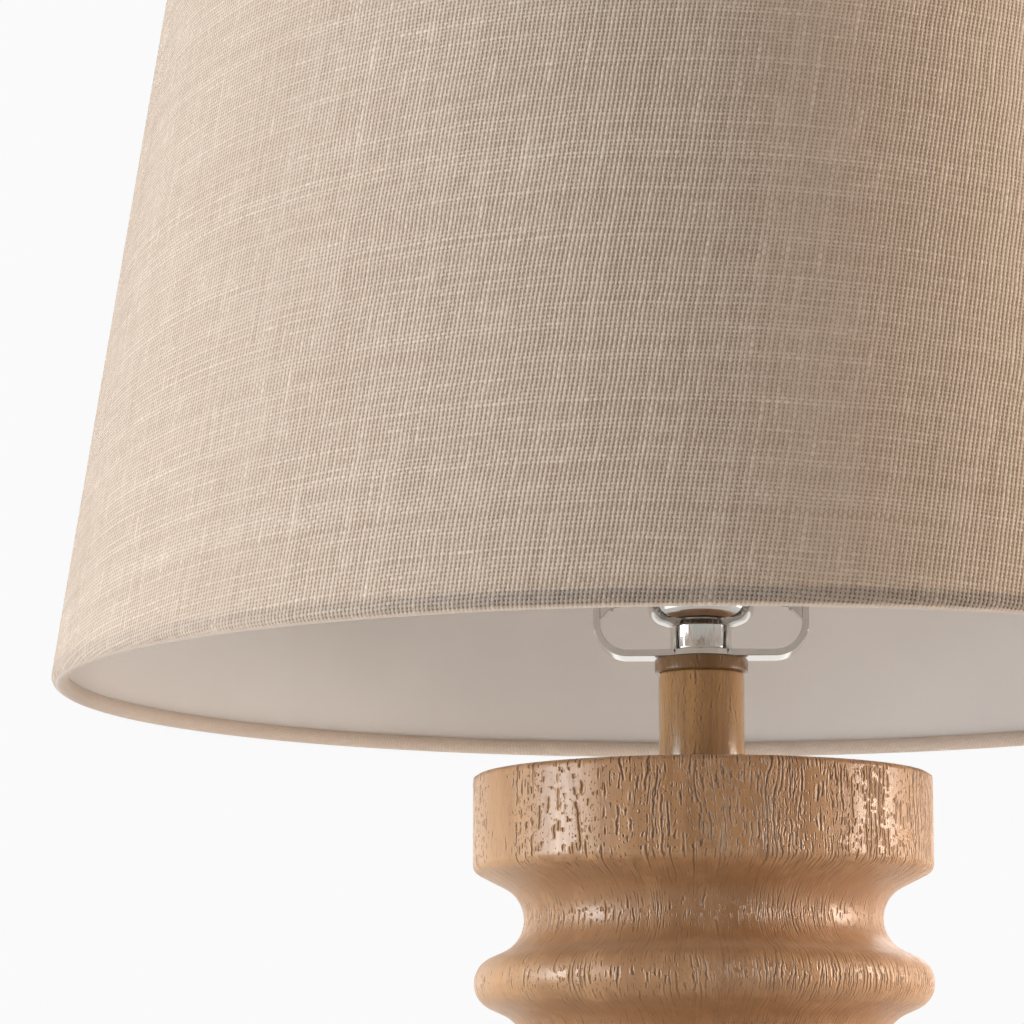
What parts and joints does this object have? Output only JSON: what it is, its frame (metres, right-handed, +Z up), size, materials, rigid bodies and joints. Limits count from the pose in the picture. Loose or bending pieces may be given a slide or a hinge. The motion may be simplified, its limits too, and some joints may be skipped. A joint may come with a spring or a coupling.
{
  "type": "table lamp",
  "caption": "Table lamp with a turned wooden column of stacked beads between two discs, a polished harp and socket with a bulb, and a tapered linen shade.",
  "frame": {"origin": "middle of the base, on the surface that the lamp stands on", "axes": "+Z up along the column; -Y is the front, where the switch knob points and the picture looks from; +Y is the back, where the cord inlet is; +X is to the right seen from the front"},
  "size_m": [0.3802, 0.3801, 0.6391],
  "materials": {
    "felt": "matte",
    "column_wood": "satin",
    "neck_wood": "gloss",
    "cast_iron": "matte",
    "zinc_steel": "satin",
    "polished_nickel": "polished",
    "black_plastic": "matte",
    "moulded_phenolic": "matte",
    "insulating_fibre": "matte",
    "brass": "satin",
    "bulb_ceramic": "gloss",
    "bulb_metal": "satin",
    "frosted_glass": "matte",
    "linen": "matte",
    "liner_board": "matte"
  },
  "bodies": {
    "stand": {"felt_pad": "felt", "foot": "column_wood", "base_weight": "cast_iron", "base_washer": "zinc_steel", "lock_washer": "zinc_steel", "base_nut": "zinc_steel", "cord_bushing": "black_plastic", "column": "column_wood", "neck": "neck_wood", "neck_collar": "neck_wood", "saddle_gasket": "black_plastic", "threaded_rod": "zinc_steel", "harp_saddle": "polished_nickel", "socket_cap": "polished_nickel", "cap_grub_screw": "zinc_steel", "socket_shell": "polished_nickel", "fibre_sleeve": "insulating_fibre", "socket_core": "moulded_phenolic", "terminal_screws": "brass", "screw_shell": "brass", "centre_contact": "brass"},
    "switch": {"switch_rotor": "moulded_phenolic", "switch_shaft": "brass", "switch_knob": "black_plastic"},
    "harp": {"harp_wire": "polished_nickel", "harp_stud": "polished_nickel"},
    "left_ferrule": {"ferrule_left": "polished_nickel"},
    "right_ferrule": {"ferrule_right": "polished_nickel"},
    "shade": {"shade_linen": "linen", "shade_liner": "liner_board", "bottom_ring": "zinc_steel", "top_ring": "zinc_steel", "spider_arms": "polished_nickel", "fitter_washer": "polished_nickel"},
    "finial_core": {"finial_insert": "brass"},
    "finial_shell": {"finial_knob": "polished_nickel"},
    "bulb_core": {"bulb_tip": "brass", "bulb_insulator": "bulb_ceramic"},
    "bulb_shell": {"bulb_base": "bulb_metal", "bulb_glass": "frosted_glass"}
  },
  "joints": [
    {"name": "switch_turn", "type": "hinge", "parent": "stand", "child": "switch", "pos_m": [0, -0.02, 0.4084], "axis": [0, -1, 0], "continuous": true},
    {"name": "harp_lift", "type": "slide", "parent": "stand", "child": "harp", "axis": [0, 0, 1], "range_m": [0, 0.03]},
    {"name": "left_ferrule_slide", "type": "slide", "parent": "harp", "child": "left_ferrule", "axis": [0, 0, 1], "range_m": [0, 0.012]},
    {"name": "right_ferrule_slide", "type": "slide", "parent": "harp", "child": "right_ferrule", "axis": [0, 0, 1], "range_m": [0, 0.012]},
    {"name": "shade_swivel", "type": "hinge", "parent": "harp", "child": "shade", "pos_m": [0, 0, 0.6135], "axis": [0, 0, 1], "continuous": true},
    {"name": "finial_rise", "type": "slide", "parent": "harp", "child": "finial_core", "axis": [0, 0, 1], "range_m": [0, 0.0075]},
    {"name": "finial_spin", "type": "hinge", "parent": "finial_core", "child": "finial_shell", "pos_m": [0, 0, 0.62], "axis": [0, 0, 1], "range_deg": [0, 2873]},
    {"name": "bulb_rise", "type": "slide", "parent": "stand", "child": "bulb_core", "axis": [0, 0, 1], "range_m": [0, 0.01089]},
    {"name": "bulb_spin", "type": "hinge", "parent": "bulb_core", "child": "bulb_shell", "pos_m": [0, 0, 0.43], "axis": [0, 0, 1], "range_deg": [0, 1081]}
  ],
  "couplings": [
    {"joint": "finial_spin", "follows": "finial_rise", "rad_per_m": 6684.2},
    {"joint": "bulb_spin", "follows": "bulb_rise", "rad_per_m": 1730.9}
  ]
}
